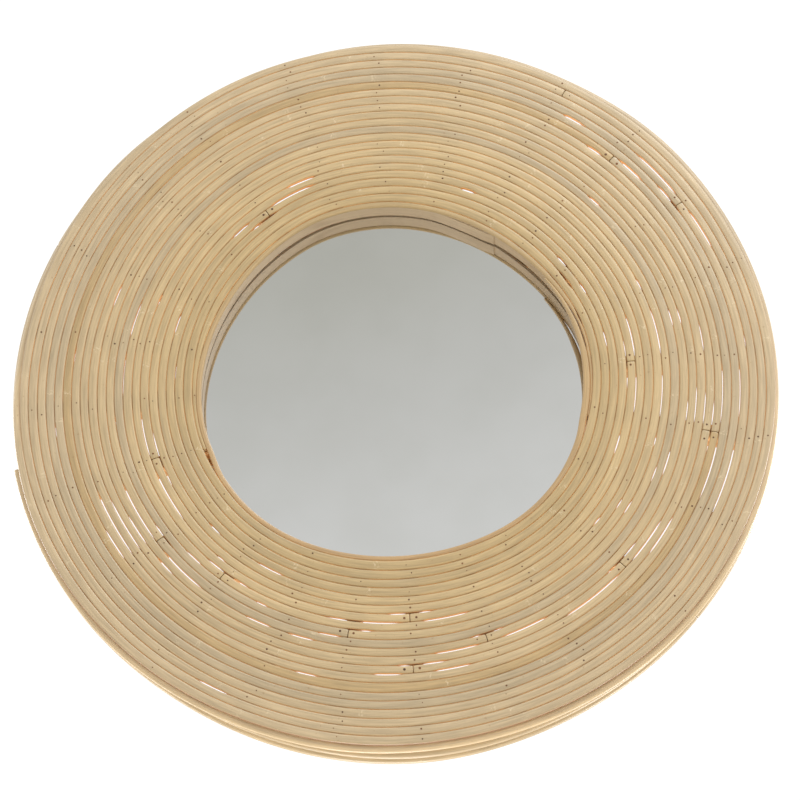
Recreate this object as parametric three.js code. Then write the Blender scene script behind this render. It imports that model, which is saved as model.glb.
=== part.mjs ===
// Round wall mirror. Rattan canes are wound as one flat spiral around a disc of mirror glass
// and nailed to radial wooden ribs; two rim canes finish the edge behind them.
// Millimetres, +Z up. The front faces -Y, the wall is the plane y = 0, and the origin is on the
// back of the hanging bar, where the mirror is held.
import * as THREE from 'three';

// Driving dimensions of the spiral: angles run clockwise as seen from the front, from +X.
const pitch = 9;                       // from one turn to the next
const caneGap = 0.6;                   // between neighbouring turns
const caneFrontHeight = 3.9;           // from the cane's middle to its flattened front
const caneBackHeight = 4.2;
const spiralRadius = 210;              // middle of the spiral where its angle is 0
const spiralStart = -202;
const spiralEnd = 7726.4;
const buttGap = 0.8;                   // between the ends of two cane lengths
const startWidth = 3.4;                // the spiral's first end is shaved thin
const startTaper = 60;                 // degrees over which it grows to its full width

// The winding is not a true circle: it has three soft lobes, and two flats on its innermost turns.
const lobeHeight = 2.1;
const lobeCount = 3;
const lobeAngle = 26;
const flatAngles = [88, 302];
const flatDepth = 3.2;
const flatFade = 2.2;                  // turns over which a flat fades outwards
const flatSharpness = 6;

// Stretches where the turns stand out or in a little, on the inner turns and on the outer ones.
// The spread is in degrees, and a thinner length of cane parts the inner turns from the outer ones.
const strays = [
  { angle: 14, spread: 12, inner: -1.1, outer: -1.2 },
  { angle: 29, spread: 10, inner: 0, outer: -1.8 },
  { angle: 48, spread: 16, inner: 0.8, outer: -1 },
  { angle: 95, spread: 12, inner: 0.2, outer: 1.2 },
  { angle: 148, spread: 9, inner: -0.9, outer: -0.3 },
  { angle: 205, spread: 26, inner: 0.1, outer: -1.3 },
  { angle: 245, spread: 12, inner: 1.1, outer: 0.6 },
  { angle: 288, spread: 16, inner: -1, outer: -1 },
  { angle: 343, spread: 15, inner: 2.2, outer: -0.2 },
];
const strayTurns = [13.6, 15.4];       // turns between which the inner heights pass into the outer ones

// The last turn slips down over the ends of the ribs: how far inwards and back by its angle.
const slips = [
  { angle: 7360, inward: 0, depth: 0 },
  { angle: 7372, inward: 0.6, depth: 2 },
  { angle: 7384, inward: 2.2, depth: 5 },
  { angle: 7408, inward: 3, depth: 7.4 },
  { angle: 7421, inward: 2.6, depth: 7.6 },
  { angle: 7432, inward: 5.8, depth: 7.8 },
  { angle: 7448, inward: 5.8, depth: 7.8 },
  { angle: 7468, inward: 2.8, depth: 6.8 },
  { angle: 7486, inward: 1.6, depth: 6.8 },
  { angle: 7500, inward: 2.8, depth: 6.8 },
  { angle: 7516, inward: 0.2, depth: 6.8 },
  { angle: 7534, inward: 2.4, depth: 6.8 },
  { angle: 7560, inward: 5, depth: 6.8 },
  { angle: 7600, inward: 3.1, depth: 6.8 },
];

// Edging cane around the opening. It lies against the innermost turn, and its two ends overlap:
// the first one is inside and thickens quickly, the last one is a long wedge outside it.
const edgingStart = 325;
const edgingOverlap = 48;
const edgingFirstTaper = 18;
const edgingClosing = 8;               // degrees in which it closes up behind the wedge
const edgingWidth = 5.6;
const edgingSwell = 1.8;               // extra width around the overlap
const edgingSwellAngle = 8;
const edgingSwellSharpness = 12;
const edgingTipWidth = 1.6;
const edgingHeight = 2.8;
const edgingClearance = 0.4;
const edgingLead = 13;                 // where it starts to make room for the spiral's first end
const edgingLeadEnd = 2;

// Rim canes behind the last turn. They follow the spiral's outside, so they sit off centre.
const rimCanes = [
  { name: 'rim_cane_middle', diameter: 10.5, radius: 395, depth: 17, joint: 205 },
  { name: 'rim_cane_back', diameter: 12.5, radius: 395.5, depth: 29, joint: 40 },
];
const rimOffset = 4;
const rimOffsetAngle = 80;
const rimStrays = [                    // where the rim is flatter and where it bulges
  { angle: 40, spread: 42, out: -4.3 },
  { angle: 85, spread: 13, out: 1.8 },
  { angle: 123, spread: 17, out: -2 },
];

// Ribs on edge, with a seat for the glass cut into their inner ends. They are set by hand, about
// 15 degrees apart.
const ribAngles = [
  10.8, 26.1, 41.6, 58, 71.3, 85.8, 98.6, 112.4, 128, 142.8, 159.7, 174.9,
  188.9, 204.2, 220.7, 234.4, 252.2, 267.2, 282.4, 298.4, 312.3, 326.6, 340.9, 356.2,
];
const ribWidth = 14;
const ribOuter = 387.5;
const ribLip = 2;                      // least length of the step at a rib's outer end
const ribRoom = 1.8;                   // between a rib's front and the slipped last turn
const ribReach = 3;                    // degrees of the hoop that a rib's inner end faces on each side
const hoopRoom = 0.5;                  // between the hoop and a rib
const ribFront = 4.6;                  // depths are measured back from the middle of the canes
const ribStep = 12;

const glassRadius = 214;
const glassFront = 25.2;
const glassThickness = 4;
const boardRadius = 228;
const boardThickness = 4;
const seatClearance = 3;               // room around the glass in its seat
const contactGap = 0.3;
const ribBack = glassFront + glassThickness + contactGap;

const hoopInset = 2;                   // from the edging cane's inner side to the hoop's
const hoopThickness = 2.4;
const hoopFront = 3.2;
const hoopBack = 23.4;
const hoopJoint = 298;

const barWidth = 150;
const barBottom = -12;
const barTop = 28;
const barThickness = 5.7;
const keyholeCentre = 12;
const keyholeRadius = 4.5;
const keyholeSlotTop = 22;
const keyholeSlotHalf = 2.3;

const centreZ = -300;                  // middle of the mirror below the hanging point
const wallDepth = ribBack + contactGap + barThickness;

// Facets: every winding shares one angular grid, so that neighbouring turns stay parallel.
const windingStep = 12;
const ringStep = 10;
const discSides = 36;

// Butt joints between the cane lengths: turn of the spiral and number of the rib beneath.
const joints = [
  { turn: 2, rib: 15 }, { turn: 3, rib: 23 }, { turn: 5, rib: 10 }, { turn: 6, rib: 5 },
  { turn: 7, rib: 8 }, { turn: 8, rib: 6 }, { turn: 9, rib: 9 }, { turn: 10, rib: 4 },
  { turn: 11, rib: 2 }, { turn: 12, rib: 5 }, { turn: 13, rib: 0 }, { turn: 14, rib: 0 },
  { turn: 14, rib: 20 }, { turn: 16, rib: 21 }, { turn: 18, rib: 19 },
];

const honey = new THREE.Color(0xcdae78);
const straw = new THREE.Color(0xd3c09a);
const greyBrown = new THREE.Color(0xb3a183);
const golden = new THREE.Color(0xcfae6c);
const greyCanes = [6, 13];             // lengths that are duller than the rest
const goldenCane = 12;

const { degToRad, radToDeg, smoothstep, lerp, clamp, euclideanModulo } = THREE.MathUtils;
const mirror = new THREE.Group();
const centre = new THREE.Group();
centre.position.z = centreZ;
mirror.add(centre);

function material(color, roughness, metalness = 0) {
  return new THREE.MeshStandardMaterial({ color, roughness, metalness });
}

function addPiece(name, geometry, look, parent = centre) {
  const piece = new THREE.Mesh(geometry, look);
  piece.name = name;
  parent.add(piece);
  return piece;
}

// A point of the frame from its radius, its clockwise angle and its depth behind the canes' middle.
function framePoint(radius, angle, depth) {
  const turned = degToRad(angle);
  return new THREE.Vector3(radius * Math.cos(turned), depth - wallDepth, -radius * Math.sin(turned));
}

// How far the winding departs from a true spiral.
function lobe(angle) {
  const flatness = (flat) => Math.max(0, Math.cos(degToRad(angle - flat))) ** flatSharpness;
  const fade = Math.exp(-angle / 360 / flatFade);
  const flats = flatDepth * fade * flatAngles.reduce((sum, flat) => sum + flatness(flat), 0);
  return lobeHeight * Math.cos(lobeCount * degToRad(angle - lobeAngle)) - flats;
}

// A soft bump around one direction: 1 in its middle, and next to nothing two spreads away.
function bump(angle, middle, spread) {
  const away = euclideanModulo(angle - middle + 180, 360) - 180;
  return Math.exp(-((away / spread) ** 2));
}

function straying(angle) {
  const share = smoothstep(angle / 360, ...strayTurns);
  const heights = strays.map((stray) => (
    lerp(stray.inner, stray.outer, share) * bump(angle, stray.angle, stray.spread)
  ));
  return heights.reduce((sum, height) => sum + height, 0);
}

// Radius of the line on which a turn meets the turn inside it.
function gapLine(angle) {
  return spiralRadius + pitch * (angle / 360 - 0.5) + lobe(angle) + straying(angle);
}

// Angles at which a bar has a section: its ends and the grid angles between them.
function gridAngles(start, end, step) {
  const angles = [start];
  const least = step / 20;
  for (let angle = Math.ceil(start / step) * step; angle < end; angle += step) {
    if (angle - start > least && end - angle > least) angles.push(angle);
  }
  angles.push(end);
  return angles;
}

// A bar bent around the centre. profile(angle) gives its inner and outer radius, the depth of its
// middle and how thick it is there; section holds the corners, from -1 to 1 across and in height.
// Between two grid angles the bar is straight, and an end between them lies on that straight.
function bentBar(section, start, end, step, profile) {
  const flatten = 2 / (1 + Math.cos(degToRad(step / 2)));
  const corner = (angle, across, height) => {
    const { inner, outer, depth, thickness } = profile(angle);
    const radius = (inner + outer) / 2 + across * (outer - inner) / 2;
    return framePoint(radius * flatten, angle, depth - height * thickness);
  };
  const angles = gridAngles(start, end, step);
  const outline = new THREE.Shape(section.map(([across, height]) => new THREE.Vector2(across, height)));
  const geometry = new THREE.ExtrudeGeometry(outline, {
    steps: angles.length - 1, depth: angles.length - 1, bevelEnabled: false,
  });
  const positions = geometry.attributes.position;
  for (let i = 0; i < positions.count; i += 1) {
    const across = positions.getX(i);
    const height = positions.getY(i);
    const angle = angles[Math.round(positions.getZ(i))];
    const before = Math.floor(angle / step) * step;
    const point = corner(before, across, height);
    point.lerp(corner(before + step, across, height), (angle - before) / step);
    positions.setXYZ(i, point.x, point.y, point.z);
  }
  geometry.computeVertexNormals();
  return geometry;
}

const caneSection = [
  [-1, 0],
  [0, -caneBackHeight / caneFrontHeight],
  [1, 0],
  [0.5, 1],
  [-0.5, 1],
];
const roundSection = [0, 1, 2, 3, 4, 5].map((i) => {
  const turned = degToRad(60 * i);
  return [Math.cos(turned), Math.sin(turned)];
});
const stripSection = [[-1, -1], [1, -1], [1, 1], [-1, 1]];

// How far the spiral has slipped inwards and back, straight from one row of slips to the next.
function slipped(angle) {
  const next = slips.findIndex((slip) => slip.angle > angle);
  if (next === 0) return slips[0];
  if (next < 0) return slips[slips.length - 1];
  const [from, to] = [slips[next - 1], slips[next]];
  const share = (angle - from.angle) / (to.angle - from.angle);
  return { inward: lerp(from.inward, to.inward, share), depth: lerp(from.depth, to.depth, share) };
}

// The spiral: each turn fills the room between two gap lines.
function spiralProfile(angle) {
  const { inward, depth } = slipped(angle);
  const shaved = (pitch - startWidth) * (1 - smoothstep(angle, spiralStart, spiralStart + startTaper));
  return {
    inner: gapLine(angle) + caneGap / 2 + shaved - inward,
    outer: gapLine(angle + 360) - caneGap / 2 - inward,
    depth,
    thickness: caneFrontHeight,
  };
}

// The radius that the edging cane lies against, by its own angle: the inner side of the turn at
// zero, and from the spiral's first end on the inner side of that end.
function innermost(angle) {
  const firstEnd = 720 + spiralStart;
  if (angle >= firstEnd) return spiralProfile(angle - 720).inner;
  const turnSide = spiralProfile(angle - 360).inner;
  const endSide = spiralProfile(spiralStart).inner;
  return lerp(turnSide, endSide, smoothstep(angle, firstEnd - edgingLead, firstEnd - edgingLeadEnd));
}

// The edging cane: one turn and an overlap.
function edgingProfile(angle) {
  const along = angle - edgingStart;
  const swell = Math.max(0, Math.cos(degToRad(angle - edgingSwellAngle))) ** edgingSwellSharpness;
  const full = edgingWidth + edgingSwell * swell;
  let outer = innermost(angle) - edgingClearance;
  let width = full;
  if (along > 360) width = wedgeWidth(along - 360);
  if (along < edgingOverlap) {
    outer = innermost(angle + 360) - 2 * edgingClearance - wedgeWidth(along);
    width = lerp(edgingTipWidth, full, clamp(along / edgingFirstTaper, 0, 1));
  } else {
    const closed = smoothstep(along, edgingOverlap, edgingOverlap + edgingClosing);
    outer -= (edgingTipWidth + edgingClearance) * (1 - closed);
  }
  const slimness = clamp(width / edgingWidth, 0, 1);
  return { inner: outer - width, outer, depth: 0, thickness: edgingHeight * lerp(0.6, 1, slimness) };
}

// Width of the edging cane's last end, by the angle along the overlap.
function wedgeWidth(along) {
  return lerp(edgingWidth, edgingTipWidth, clamp(along / edgingOverlap, 0, 1));
}

// The spiral, cut into its cane lengths at the butt joints.
function caneLook(index, count) {
  const color = honey.clone().lerp(straw, index / (count - 1));
  if (greyCanes.includes(index)) color.lerp(greyBrown, 0.7);
  if (index === goldenCane) color.copy(golden);
  return material(color, 0.55);
}

const jointAngles = joints.map(({ turn, rib }) => 360 * turn + ribAngles[rib]);
const ends = [spiralStart, ...jointAngles, spiralEnd];
for (let i = 0; i + 1 < ends.length; i += 1) {
  const halfGap = (angle) => radToDeg(buttGap / 2 / (spiralRadius + pitch * angle / 360));
  const start = ends[i] + halfGap(ends[i]);
  const end = ends[i + 1] - halfGap(ends[i + 1]);
  const geometry = bentBar(caneSection, start, end, windingStep, spiralProfile);
  addPiece(`cane_${String(i + 1).padStart(2, '0')}`, geometry, caneLook(i, ends.length - 1));
}

addPiece(
  'edging_cane',
  bentBar(roundSection, edgingStart, edgingStart + 360 + edgingOverlap, windingStep, edgingProfile),
  material(0xc9a772, 0.5),
);

// How far the rim stands outwards at an angle, because it sits off centre and isn't quite round.
function rimShift(angle) {
  const offset = rimOffset * Math.cos(degToRad(angle - rimOffsetAngle));
  const uneven = rimStrays.map((stray) => stray.out * bump(angle, stray.angle, stray.spread));
  return uneven.reduce((sum, out) => sum + out, offset);
}

for (const { name, diameter, radius, depth, joint } of rimCanes) {
  const halfGap = radToDeg(buttGap / 2 / radius);
  const profile = (angle) => ({
    inner: radius + rimShift(angle) - diameter / 2,
    outer: radius + rimShift(angle) + diameter / 2,
    depth,
    thickness: diameter / 2,
  });
  const geometry = bentBar(roundSection, joint + halfGap, joint + 360 - halfGap, ringStep, profile);
  addPiece(name, geometry, material(0xc6ab7c, 0.5));
}

// The bent strip that lines the opening between the edging cane and the glass, and follows both.
function hoopProfile(angle) {
  const edging = innermost(360 + euclideanModulo(angle, 360)) - edgingClearance - edgingWidth;
  return {
    inner: edging + hoopInset,
    outer: edging + hoopInset + hoopThickness,
    depth: (hoopFront + hoopBack) / 2,
    thickness: (hoopBack - hoopFront) / 2,
  };
}

const hoopGap = radToDeg(buttGap / 2 / spiralRadius);
addPiece(
  'inner_hoop',
  bentBar(stripSection, hoopJoint + hoopGap, hoopJoint + 360 - hoopGap, ringStep, hoopProfile),
  material(0x9a8b74, 0.7),
);

// A rib's side view: outwards along x, and back from the canes along y.
function ribGeometry(innerEnd, frontEnd, outerEnd) {
  const glassSeat = glassFront - contactGap;
  const side = new THREE.Shape([
    [innerEnd, ribFront],
    [frontEnd, ribFront],
    [frontEnd, ribStep],
    [outerEnd, ribStep],
    [outerEnd, ribBack],
    [glassRadius + seatClearance, ribBack],
    [glassRadius + seatClearance, glassSeat],
    [innerEnd, glassSeat],
  ].map(([outwards, back]) => new THREE.Vector2(outwards, back - wallDepth)));
  const geometry = new THREE.ExtrudeGeometry(side, { depth: ribWidth, bevelEnabled: false });
  return geometry.translate(0, 0, -ribWidth / 2);
}

ribAngles.forEach((angle, i) => {
  const hoopSides = [-ribReach, 0, ribReach].map((reach) => hoopProfile(angle + reach).outer);
  const innerEnd = Math.max(...hoopSides) + hoopRoom;
  const outerEnd = ribOuter + rimShift(angle);
  const lastTurn = spiralEnd - euclideanModulo(spiralEnd - angle, 360);
  const frontEnd = Math.min(spiralProfile(lastTurn).inner - ribRoom, outerEnd - ribLip);
  const geometry = ribGeometry(innerEnd, frontEnd, outerEnd);
  const rib = addPiece(`rib_${String(i + 1).padStart(2, '0')}`, geometry, material(0x8a6a48, 0.8));
  rib.rotation.y = degToRad(angle);
});

// A disc across the opening, from its front face backwards.
function disc(radius, front, thickness) {
  const geometry = new THREE.CylinderGeometry(radius, radius, thickness, discSides);
  return geometry.translate(0, front + thickness / 2 - wallDepth, 0);
}

addPiece('mirror_glass', disc(glassRadius, glassFront, glassThickness), material(0xb9bab6, 0.05, 1));
addPiece('backing_board', disc(boardRadius, ribBack + contactGap, boardThickness), material(0xa98f68, 0.85));

// Hanging bar across the backs of the two uppermost ribs, with a keyhole for the wall screw.
function barGeometry() {
  const half = barWidth / 2;
  const outline = new THREE.Shape([
    new THREE.Vector2(-half, barBottom),
    new THREE.Vector2(half, barBottom),
    new THREE.Vector2(half, barTop),
    new THREE.Vector2(-half, barTop),
  ]);
  const meet = Math.asin(keyholeSlotHalf / keyholeRadius);
  const keyhole = new THREE.Path();
  keyhole.absarc(0, keyholeCentre, keyholeRadius, Math.PI / 2 + meet, Math.PI * 5 / 2 - meet);
  keyhole.lineTo(keyholeSlotHalf, keyholeSlotTop - keyholeSlotHalf);
  keyhole.absarc(0, keyholeSlotTop - keyholeSlotHalf, keyholeSlotHalf, 0, Math.PI);
  keyhole.closePath();
  outline.holes.push(keyhole);
  return new THREE.ExtrudeGeometry(outline, { depth: barThickness, bevelEnabled: false, curveSegments: 8 });
}

const bar = addPiece('hanging_bar', barGeometry(), material(0x9c8058, 0.8), mirror);
bar.rotation.x = Math.PI / 2;

export default mirror;
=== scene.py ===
"""Looks of a round wall mirror: rattan canes wound around a disc of glass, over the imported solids."""

import math

import bpy
import numpy as np
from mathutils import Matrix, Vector


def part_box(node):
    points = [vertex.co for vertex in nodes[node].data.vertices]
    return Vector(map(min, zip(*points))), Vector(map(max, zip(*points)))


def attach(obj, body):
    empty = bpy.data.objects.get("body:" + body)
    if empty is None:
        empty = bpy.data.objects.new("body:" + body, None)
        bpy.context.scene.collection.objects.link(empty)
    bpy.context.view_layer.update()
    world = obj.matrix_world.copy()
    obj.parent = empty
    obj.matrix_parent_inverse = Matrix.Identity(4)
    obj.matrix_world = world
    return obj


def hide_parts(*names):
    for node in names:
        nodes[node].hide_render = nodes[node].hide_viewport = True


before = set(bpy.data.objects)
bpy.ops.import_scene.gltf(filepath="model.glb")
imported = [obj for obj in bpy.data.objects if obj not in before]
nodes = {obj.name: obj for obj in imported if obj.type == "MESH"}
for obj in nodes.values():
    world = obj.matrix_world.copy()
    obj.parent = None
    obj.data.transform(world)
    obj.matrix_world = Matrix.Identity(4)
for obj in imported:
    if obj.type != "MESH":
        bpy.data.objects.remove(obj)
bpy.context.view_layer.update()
rng = np.random.default_rng(7)

# Lengths are millimetres and angles are degrees, clockwise as seen from the front and from +X,
# until to_frame() turns them into the frame's metres.
MM = 0.001
GLASS_FRONT = 25.2           # depths are measured back from the middle of the canes
GLASS_THICKNESS = 4.0
GLASS_RADIUS = 214.0
GLASS_CHAMFER = 0.6
BOARD_THICKNESS = 4.0
BOARD_RADIUS = 228.0
BOARD_CHAMFER = 0.8
DISC_SIDES = 120

glass_low, glass_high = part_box("mirror_glass")
board_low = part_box("backing_board")[0]
CENTRE_Z = (glass_low.z + glass_high.z) / 2
FACE_Y = glass_low.y - GLASS_FRONT * MM
FACE_MIDDLE = Vector((0, FACE_Y, CENTRE_Z))
BOARD_FRONT = (board_low.y - FACE_Y) / MM

# The spiral
PITCH = 9.0
SPIRAL_RADIUS = 210.0
SPIRAL_START = -202.0
SPIRAL_END = 7726.4
START_WIDTH = 2.6            # its first end is shaved thin
START_TAPER = 60.0
BUTT_GAP = 0.7
CANE_HEIGHT = 4.1            # half the thickness of a cane
CANE_OVERLAP = 0.06          # how far touching canes press into each other
THIN_HALF, THIN_LEAST = 3.6, 0.7    # a cane below this half width is lower as well, down to this share
LOBE_HEIGHT = 2.1
LOBE_COUNT = 3
LOBE_ANGLE = 26.0
FLAT_ANGLES = (88.0, 302.0)
FLAT_DEPTH = 3.2
FLAT_FADE = 2.2              # turns over which a flat fades outwards
FLAT_SHARPNESS = 6
FREE_FROM, FREE_TO = 366.0, 358.0    # degrees before its end between which its outer side becomes free
TUCK_LENGTH = 45.0           # the last degrees, which lie further behind the turn before
TUCK_INWARD, TUCK_DEPTH = 0.3, 0.6
TUCK_THINNING = 1.5

# Stretches where the turns stand out or in: angle, spread, and how far on the inner and outer turns
STRAYS = (
    (14, 12, -1.1, -1.2), (29, 10, 0, -1.8), (48, 16, 0.8, -1), (95, 12, 0.2, 1.2), (148, 9, -0.9, -0.3),
    (205, 26, 0.1, -1.3), (245, 12, 1.1, 0.6), (288, 16, -1, -1), (343, 15, 2.2, -0.2),
)
STRAY_TURNS = (13.6, 15.4)   # turns between which the inner heights pass into the outer ones

# Where the last turn slips down over the ends of the ribs: angle, and how far inwards and back
SLIPS = (
    (7360, 0, 0), (7372, 0.6, 2), (7384, 2.2, 5), (7408, 3, 7.4), (7421, 2.6, 7.6), (7432, 5.8, 7.8),
    (7448, 5.8, 7.8), (7468, 2.8, 6.8), (7486, 1.6, 6.8), (7500, 2.8, 6.8), (7516, 0.2, 6.8),
    (7534, 2.4, 6.8), (7560, 5, 6.8), (7600, 3.1, 6.8),
)
SLIP_EASE = (-4.0, -2.0, 0.0, 2.0, 4.0)    # degrees over which the rows pass into each other
SLIP_START = 7372.0
SLIP_FULL = 6.0              # how far back it counts as fully slipped
SUNK_PAINTED_LIGHT = 0.28            # painted light: how much paler it is made there, in the lower half, standing in for the light from below that it lacks
SUNK_BELOW = (-0.5, 0.3)     # sines of the angle between which the lower half begins

# Ribs and the butt joints above them: turn of the spiral and number of the rib
RIB_ANGLES = (
    10.8, 26.1, 41.6, 58, 71.3, 85.8, 98.6, 112.4, 128, 142.8, 159.7, 174.9,
    188.9, 204.2, 220.7, 234.4, 252.2, 267.2, 282.4, 298.4, 312.3, 326.6, 340.9, 356.2,
)
RIB_MIDDLE = 300.0           # radius that turns angles into lengths in its grain
RIB_SHADE = (7.5, 11.5)      # millimetres beside a rib's middle between which its shade ends
RIB_FRONT_END, RIB_BACK_START = 12.0, 17.0    # depths between which its front, painted paler as painted light for where it shows deep in the slits, turns to its own browner wood
JOINT_SHIFT = 0.6            # from a rib's middle to the joint above it
JOINTS = (
    (2, 15), (3, 23), (5, 10), (6, 5), (7, 8), (8, 6), (9, 9), (10, 4),
    (11, 2), (12, 5), (13, 0), (14, 0), (14, 20), (16, 21), (18, 19),
)
GREY_CANES = (6, 13)
GOLDEN_CANE = 12

# Slits where two neighbouring turns part: for each gap line its stretches from angle to angle
SLITS = {
    0: ((326, 331.7),),
    1: ((322, 326), (332, 335.2), (347.5, 351.5)),
    2: ((180.5, 184.5), (229.3, 236.7), (288.5, 292)),
    3: ((193.5, 198.5), (224, 229.2), (237.3, 248.5), (351.3, 362.8)),
    4: ((16.5, 20.8), (117.5, 123.8), (136, 139.5), (243, 250), (345, 355.3)),
    5: ((0.4, 9.8), (153.3, 166)),
    6: ((37, 39), (81.5, 91), (130.5, 132.5), (144.7, 156.8), (162, 172), (199.5, 202)),
    7: ((31, 33), (74, 83.6), (88.7, 104), (122.8, 133), (337, 340), (345, 355)),
    8: ((0, 9.8), (14.5, 16.5), (30.4, 33), (94.5, 99.5), (117, 119.5), (134, 137.7), (176.7, 186.4),
        (190.7, 198.5)),
    9: ((21.3, 24), (100.8, 105), (141, 146.2), (170.5, 172), (315.3, 318.3), (346, 349)),
    10: ((17.2, 21.8), (68.5, 74.5), (105.7, 110.7), (114.7, 119.5), (130.7, 140.5), (144.7, 156.5),
         (346.3, 349)),
    11: ((6, 9.8), (37.5, 45), (60, 68.5), (74, 82), (136.7, 140.5), (144.7, 150.5), (196.5, 200.8)),
    12: ((3.2, 9.8), (31.4, 40.2), (44.5, 56.5), (80.5, 89), (144.7, 154.6), (350.3, 355.4)),
    13: ((4.2, 9.8), (29.8, 37), (76.3, 82.4), (88.7, 93.3), (144.8, 157)),
    14: ((6, 14.5), (103.3, 107), (144.7, 150.2), (183.7, 186.7), (308, 311), (359, 368.7)),
    15: ((13.1, 23.3), (314.3, 319.2)),
    16: ((170, 172.3), (301.2, 304.8), (322.5, 328.4), (359, 367.3)),
    17: ((13.3, 26), (316, 325), (329.5, 336.4), (353.5, 355.5)),
    19: ((116, 120.6),),
}
SLIT_LEAST, SLIT_MOST = 0.35, 0.68
SLIT_GROWTH = 0.07           # width per degree of length
SLIT_SLOPE = 1.6             # extra width at the top and bottom, where the canes lie across the view
SLIT_RISE = 0.33             # and how much more of it there is at the top, seen at a flatter angle
SLIT_LEAN = 0.1              # share by which they are wider at the right and narrower at the left
SLIT_UPPER = 0.3             # extra width in the upper half
SLIT_UPPER_EASE = 0.25       # sine of the angle at which all of it is there
SLIT_RAMP = 1.1              # degrees in which a short slit closes
SLIT_TAPER = 0.3             # share of a long slit in which it closes
SLIT_PINCH = 0.35            # share by which it is narrower over a rib

# Edging cane and hoop
EDGING_START = 325.0
EDGING_OVERLAP = 48.0
EDGING_FIRST_TAPER = 18.0
EDGING_CLOSING = 8.0
EDGING_WIDTH = 5.6
EDGING_SWELL = 1.8
EDGING_SWELL_ANGLE = 8.0
EDGING_SWELL_SHARPNESS = 12
EDGING_TIP_WIDTH = 1.6
EDGING_HEIGHT = 2.8
EDGING_TIP_HEIGHT = 0.6      # share of the height that it would have at no width
EDGING_TAN_SHARE = 0.55      # share of the tan colour at the sides, which rises to all of it at the bottom, so the edging is tanner towards the bottom and less tan towards the top
EDGING_LEAD, EDGING_LEAD_END = 11.0, 0.5    # where it makes room for the spiral's first end
ENDS_SLOT = (333.0, 353.0, 1.3)    # where its two ends part: from angle to angle, and the width
TURN_SLOT = (337.0, 346.0, 1.1)    # where its last end parts from the first turn
SLOT_RAMP = 5.0
HOOP_INSET = 2.0
HOOP_THICKNESS = 2.4
HOOP_FRONT, HOOP_BACK = 3.2, 23.4
HOOP_LIFTS = ((231, 22, 1.8), (318, 15, 3.2))    # where its back stands off more: angle, spread, height
HOOP_JOINT = 294.0
HOOP_LAP = 9.0               # degrees by which the hoop's end laps over its start
HOOP_LAP_EASE = 15.0         # degrees before that in which it bends inwards
HOOP_LAP_ROOM = 0.1          # between the end and the start
HOOP_END = 0.8               # thickness of that end
HOOP_WARM = (325.0, 26.0)    # where it is browner: angle and spread
HOOP_WARMTH = np.array((0.1, 0.15, 0.24))

# Rim canes: node, diameter, radius, depth and angle of the joint
RIM_CANES = (
    ("rim_cane_middle", 10.5, 395.0, 17.0, 205.0),
    ("rim_cane_back", 12.5, 395.5, 29.0, 40.0),
)
RIM_OFFSET = 4.0
RIM_OFFSET_ANGLE = 80.0
RIM_STRAYS = ((40, 42, -4.3), (85, 13, 1.8), (123, 17, -2))    # angle, spread and how far it stands out
RIM_NUMBER = 20              # of the first of them among the canes, which sets its shades
RIM_TURN = 20                # turn of the spiral whose colour they have

# Mesh detail
ANGLE_STEP = 0.8
LEAST_STEP = 0.02
SECTION_SIDES = 20
END_OFFSETS = (0.0, 0.3, 0.8, 1.6)    # sections close to a cut end
END_ROUNDING = 0.12
END_FADE = 0.5
EASED_EDGE = 0.8             # of the ribs and the bar
EASED_SEGMENTS = 2

# Leaf scars along a cane
SCAR_FIRST = (40.0, 220.0)   # from a cane's start to its first scar
SCAR_SPACING = (170.0, 420.0)
SCAR_OFFSETS = (-5.0, -2.6, -1.3, 0.0, 1.3, 2.6, 5.0)    # sections around a scar
SCAR_REACH = 2.6
SCAR_SWELLING = 0.12

# Nails
NAIL_LEAST, NAIL_MOST = 0.55, 1.15    # radius of a head
JOINT_NAIL = 1.35            # how much larger it is beside a joint
JOINT_NAIL_PLACES = ((-1.3, 3), (1.4, 2))    # degrees from a joint, and what the scatter is divided by
NAIL_HEIGHT = 0.3
NAIL_SIDES = 8
NAIL_RINGS = ((1.0, -0.6), (0.85, 0.5), (0.45, 0.9))    # share of the radius and of the height
NAILED_SHARE = 0.48          # of the crossings of a cane and a rib
NAILED_TURNS = range(-1, 22)
NAIL_SCATTER = 0.9
NAIL_FREE_END = 8.0          # degrees at the spiral's first end without a nail

# Colours, as they show on a screen
HONEY = (194, 169, 123)
STRAW = (199, 178, 144)
GREY_BROWN = (178, 161, 132)
GOLD = (188, 159, 110)
EDGING_TAN = (192, 158, 112)
# Painted light and shade in the grooves where canes touch: an orange glow for light shining through the
# canes, and brown painted shade over the ribs
GROOVE_GLOW = (255, 207, 146)
GROOVE_SHADE = (206, 156, 108)
# Darker painted shade in the groove beside a turn that has slipped back
SUNK_SHADE = (148, 102, 66)
FLECK_BROWN = (150, 108, 66)
SCAR_PALE = (226, 208, 174)
HOOP_GREY = (204, 186, 160)
STAIN_BROWN = (150, 122, 90)
# Rib colours with painted light: paler than the wood is, standing in for light on the ribs seen deep in the
# slits
RIB_LIT_BROWN = (250, 205, 148)
RIB_LIT_DARK = (212, 158, 102)
RIB_BACK = (208, 196, 180)   # multiplies both at a rib's back, where the painted light of its front gives way to its own colour
BOARD_TAN = (190, 165, 125)
BOARD_DARK = (160, 132, 94)
HAZE_LIGHT = (241, 241, 241)
HAZE_DARK = (236, 236, 235)
NAIL_DARK = (84, 56, 36)
NAIL_RUST = (128, 86, 52)
FLOOR_PALE = (232, 222, 204)
FLOOR_DIM = (226, 216, 198)
GREY_SHARE, GOLD_SHARE = 0.65, 0.7    # how much of their own colour the grey and golden canes have
CANE_SPREAD = 0.035          # how much the canes differ in brightness


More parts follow.
